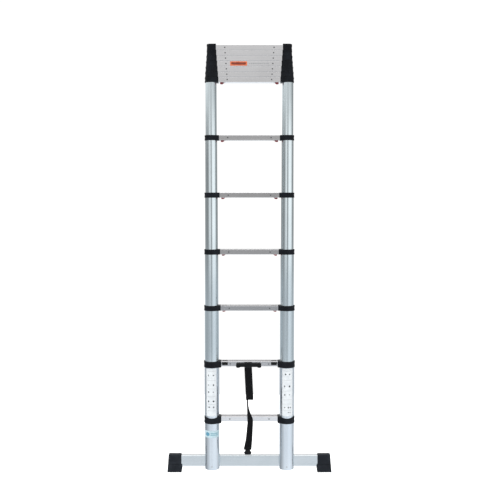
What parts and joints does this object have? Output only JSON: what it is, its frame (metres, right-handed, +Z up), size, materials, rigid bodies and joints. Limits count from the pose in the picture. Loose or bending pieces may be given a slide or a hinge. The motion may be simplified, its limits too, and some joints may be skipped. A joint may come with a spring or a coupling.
{
  "type": "telescoping ladder",
  "caption": "Telescoping ladder: round nested aluminium stiles, hollow rungs on black collars with spring latches, a wide foot bar with rubber feet and a carry strap.",
  "frame": {"origin": "on the ground, at the middle of the bounding box seen from above", "axes": "+Z up along the stiles, +X to the right of a person facing the rungs, who stands on the -Y side; the foot bar is on the +Y side"},
  "size_m": [0.8676, 0.1274, 2.2181],
  "materials": {
    "tube_aluminium": "bright anodised, drawn lengthwise",
    "section_aluminium": "bright anodised, drawn lengthwise",
    "rung_aluminium": "satin anodised extrusion",
    "bar_aluminium": "satin anodised extrusion",
    "collar_black": "fine-grained moulding",
    "cap_black": "fine-grained moulding",
    "latch_red": "moulded, satin gloss",
    "latch_black": "fine-grained moulding",
    "foot_rubber": "moulded rubber",
    "plug_grey": "moulded",
    "saddle_black": "moulded",
    "fastener_steel": "zinc plated",
    "grip_black": "moulded",
    "buckle_black": "moulded",
    "webbing_black": "woven nylon webbing",
    "label_orange": "printed film",
    "label_white": "printed film",
    "label_blue": "printed film",
    "rivet_grey": "blind rivet head"
  },
  "bodies": {
    "base": {"lower_tubes": "tube_aluminium", "bottom_rung": "rung_aluminium", "bottom_rung_collars": "collar_black", "second_rung": "rung_aluminium", "second_rung_collars": "collar_black", "stabiliser_bar": "bar_aluminium", "bar_saddles": "saddle_black", "tube_end_plugs": "plug_grey", "base_fasteners": "fastener_steel", "foot_cap_left": "foot_rubber", "foot_cap_right": "foot_rubber", "carry_grip": "grip_black", "strap_upper": "webbing_black", "strap_lower": "webbing_black", "strap_buckle": "buckle_black"},
    "section_03": {"section_03_tubes_and_rung": "section_aluminium", "section_03_collars": "collar_black"},
    "section_04": {"section_04_tubes_and_rung": "section_aluminium", "section_04_collars": "collar_black"},
    "section_05": {"section_05_tubes_and_rung": "section_aluminium", "section_05_collars": "collar_black"},
    "section_06": {"section_06_tubes_and_rung": "section_aluminium", "section_06_collars": "collar_black"},
    "section_07": {"section_07_tubes_and_rung": "section_aluminium", "section_07_collars": "collar_black"},
    "section_08": {"section_08_tubes_and_rung": "section_aluminium", "section_08_collars": "collar_black"},
    "section_09": {"section_09_tubes_and_rung": "section_aluminium", "section_09_collars": "collar_black"},
    "section_10": {"section_10_tubes_and_rung": "section_aluminium", "section_10_collars": "collar_black"},
    "section_11": {"section_11_tubes_and_rung": "section_aluminium", "section_11_collars": "collar_black"},
    "section_12": {"section_12_tubes_and_rung": "section_aluminium", "section_12_collars": "collar_black"},
    "section_13": {"section_13_tubes_and_rung": "section_aluminium", "section_13_collars": "collar_black", "top_caps": "cap_black"},
    "latch_left_02": {"latch_left_02": "latch_black"},
    "latch_right_02": {"latch_right_02": "latch_black"},
    "latch_left_03": {"latch_left_03": "latch_red"},
    "latch_right_03": {"latch_right_03": "latch_red"},
    "latch_left_04": {"latch_left_04": "latch_red"},
    "latch_right_04": {"latch_right_04": "latch_red"},
    "latch_left_05": {"latch_left_05": "latch_red"},
    "latch_right_05": {"latch_right_05": "latch_red"},
    "latch_left_06": {"latch_left_06": "latch_red"},
    "latch_right_06": {"latch_right_06": "latch_red"},
    "latch_left_07": {"latch_left_07": "latch_red"},
    "latch_right_07": {"latch_right_07": "latch_red"},
    "latch_left_08": {"latch_left_08": "latch_red"},
    "latch_right_08": {"latch_right_08": "latch_red"},
    "latch_left_09": {"latch_left_09": "latch_red"},
    "latch_right_09": {"latch_right_09": "latch_red"},
    "latch_left_10": {"latch_left_10": "latch_red"},
    "latch_right_10": {"latch_right_10": "latch_red"},
    "latch_left_11": {"latch_left_11": "latch_red"},
    "latch_right_11": {"latch_right_11": "latch_red"},
    "latch_left_12": {"latch_left_12": "latch_red"},
    "latch_right_12": {"latch_right_12": "latch_red"}
  },
  "joints": [
    {"name": "section_03_slide", "type": "slide", "parent": "base", "child": "section_03", "axis": [0, 0, 1], "range_m": [-0.26275, 0]},
    {"name": "section_04_slide", "type": "slide", "parent": "section_03", "child": "section_04", "axis": [0, 0, 1], "range_m": [-0.26275, 0]},
    {"name": "section_05_slide", "type": "slide", "parent": "section_04", "child": "section_05", "axis": [0, 0, 1], "range_m": [-0.26275, 0]},
    {"name": "section_06_slide", "type": "slide", "parent": "section_05", "child": "section_06", "axis": [0, 0, 1], "range_m": [-0.26275, 0]},
    {"name": "section_07_slide", "type": "slide", "parent": "section_06", "child": "section_07", "axis": [0, 0, 1], "range_m": [-0.26275, 0]},
    {"name": "section_08_slide", "type": "slide", "parent": "section_07", "child": "section_08", "axis": [0, 0, 1], "range_m": [0, 0.26275]},
    {"name": "section_09_slide", "type": "slide", "parent": "section_08", "child": "section_09", "axis": [0, 0, 1], "range_m": [0, 0.26275]},
    {"name": "section_10_slide", "type": "slide", "parent": "section_09", "child": "section_10", "axis": [0, 0, 1], "range_m": [0, 0.26275]},
    {"name": "section_11_slide", "type": "slide", "parent": "section_10", "child": "section_11", "axis": [0, 0, 1], "range_m": [0, 0.26275]},
    {"name": "section_12_slide", "type": "slide", "parent": "section_11", "child": "section_12", "axis": [0, 0, 1], "range_m": [0, 0.26275]},
    {"name": "section_13_slide", "type": "slide", "parent": "section_12", "child": "section_13", "axis": [0, 0, 1], "range_m": [0, 0.26275]},
    {"name": "latch_left_02_slide", "type": "slide", "parent": "base", "child": "latch_left_02", "axis": [1, 0, 0], "range_m": [0, 0.007], "stiffness_N_per_m": 300, "springref_m": -0.01},
    {"name": "latch_right_02_slide", "type": "slide", "parent": "base", "child": "latch_right_02", "axis": [-1, 0, 0], "range_m": [0, 0.007], "stiffness_N_per_m": 300, "springref_m": -0.01},
    {"name": "latch_left_03_slide", "type": "slide", "parent": "section_03", "child": "latch_left_03", "axis": [1, 0, 0], "range_m": [0, 0.007], "stiffness_N_per_m": 300, "springref_m": -0.01},
    {"name": "latch_right_03_slide", "type": "slide", "parent": "section_03", "child": "latch_right_03", "axis": [-1, 0, 0], "range_m": [0, 0.007], "stiffness_N_per_m": 300, "springref_m": -0.01},
    {"name": "latch_left_04_slide", "type": "slide", "parent": "section_04", "child": "latch_left_04", "axis": [1, 0, 0], "range_m": [0, 0.007], "stiffness_N_per_m": 300, "springref_m": -0.01},
    {"name": "latch_right_04_slide", "type": "slide", "parent": "section_04", "child": "latch_right_04", "axis": [-1, 0, 0], "range_m": [0, 0.007], "stiffness_N_per_m": 300, "springref_m": -0.01},
    {"name": "latch_left_05_slide", "type": "slide", "parent": "section_05", "child": "latch_left_05", "axis": [1, 0, 0], "range_m": [0, 0.007], "stiffness_N_per_m": 300, "springref_m": -0.01},
    {"name": "latch_right_05_slide", "type": "slide", "parent": "section_05", "child": "latch_right_05", "axis": [-1, 0, 0], "range_m": [0, 0.007], "stiffness_N_per_m": 300, "springref_m": -0.01},
    {"name": "latch_left_06_slide", "type": "slide", "parent": "section_06", "child": "latch_left_06", "axis": [1, 0, 0], "range_m": [0, 0.007], "stiffness_N_per_m": 300, "springref_m": -0.01},
    {"name": "latch_right_06_slide", "type": "slide", "parent": "section_06", "child": "latch_right_06", "axis": [-1, 0, 0], "range_m": [0, 0.007], "stiffness_N_per_m": 300, "springref_m": -0.01},
    {"name": "latch_left_07_slide", "type": "slide", "parent": "section_07", "child": "latch_left_07", "axis": [1, 0, 0], "range_m": [0, 0.007], "stiffness_N_per_m": 300, "springref_m": -0.01},
    {"name": "latch_right_07_slide", "type": "slide", "parent": "section_07", "child": "latch_right_07", "axis": [-1, 0, 0], "range_m": [0, 0.007], "stiffness_N_per_m": 300, "springref_m": -0.01},
    {"name": "latch_left_08_slide", "type": "slide", "parent": "section_08", "child": "latch_left_08", "axis": [1, 0, 0], "range_m": [0, 0.007], "stiffness_N_per_m": 300, "springref_m": -0.01},
    {"name": "latch_right_08_slide", "type": "slide", "parent": "section_08", "child": "latch_right_08", "axis": [-1, 0, 0], "range_m": [0, 0.007], "stiffness_N_per_m": 300, "springref_m": -0.01},
    {"name": "latch_left_09_slide", "type": "slide", "parent": "section_09", "child": "latch_left_09", "axis": [1, 0, 0], "range_m": [0, 0.007], "stiffness_N_per_m": 300, "springref_m": -0.01},
    {"name": "latch_right_09_slide", "type": "slide", "parent": "section_09", "child": "latch_right_09", "axis": [-1, 0, 0], "range_m": [0, 0.007], "stiffness_N_per_m": 300, "springref_m": -0.01},
    {"name": "latch_left_10_slide", "type": "slide", "parent": "section_10", "child": "latch_left_10", "axis": [1, 0, 0], "range_m": [0, 0.007], "stiffness_N_per_m": 300, "springref_m": -0.01},
    {"name": "latch_right_10_slide", "type": "slide", "parent": "section_10", "child": "latch_right_10", "axis": [-1, 0, 0], "range_m": [0, 0.007], "stiffness_N_per_m": 300, "springref_m": -0.01},
    {"name": "latch_left_11_slide", "type": "slide", "parent": "section_11", "child": "latch_left_11", "axis": [1, 0, 0], "range_m": [0, 0.007], "stiffness_N_per_m": 300, "springref_m": -0.01},
    {"name": "latch_right_11_slide", "type": "slide", "parent": "section_11", "child": "latch_right_11", "axis": [-1, 0, 0], "range_m": [0, 0.007], "stiffness_N_per_m": 300, "springref_m": -0.01},
    {"name": "latch_left_12_slide", "type": "slide", "parent": "section_12", "child": "latch_left_12", "axis": [1, 0, 0], "range_m": [0, 0.007], "stiffness_N_per_m": 300, "springref_m": -0.01},
    {"name": "latch_right_12_slide", "type": "slide", "parent": "section_12", "child": "latch_right_12", "axis": [-1, 0, 0], "range_m": [0, 0.007], "stiffness_N_per_m": 300, "springref_m": -0.01}
  ]
}
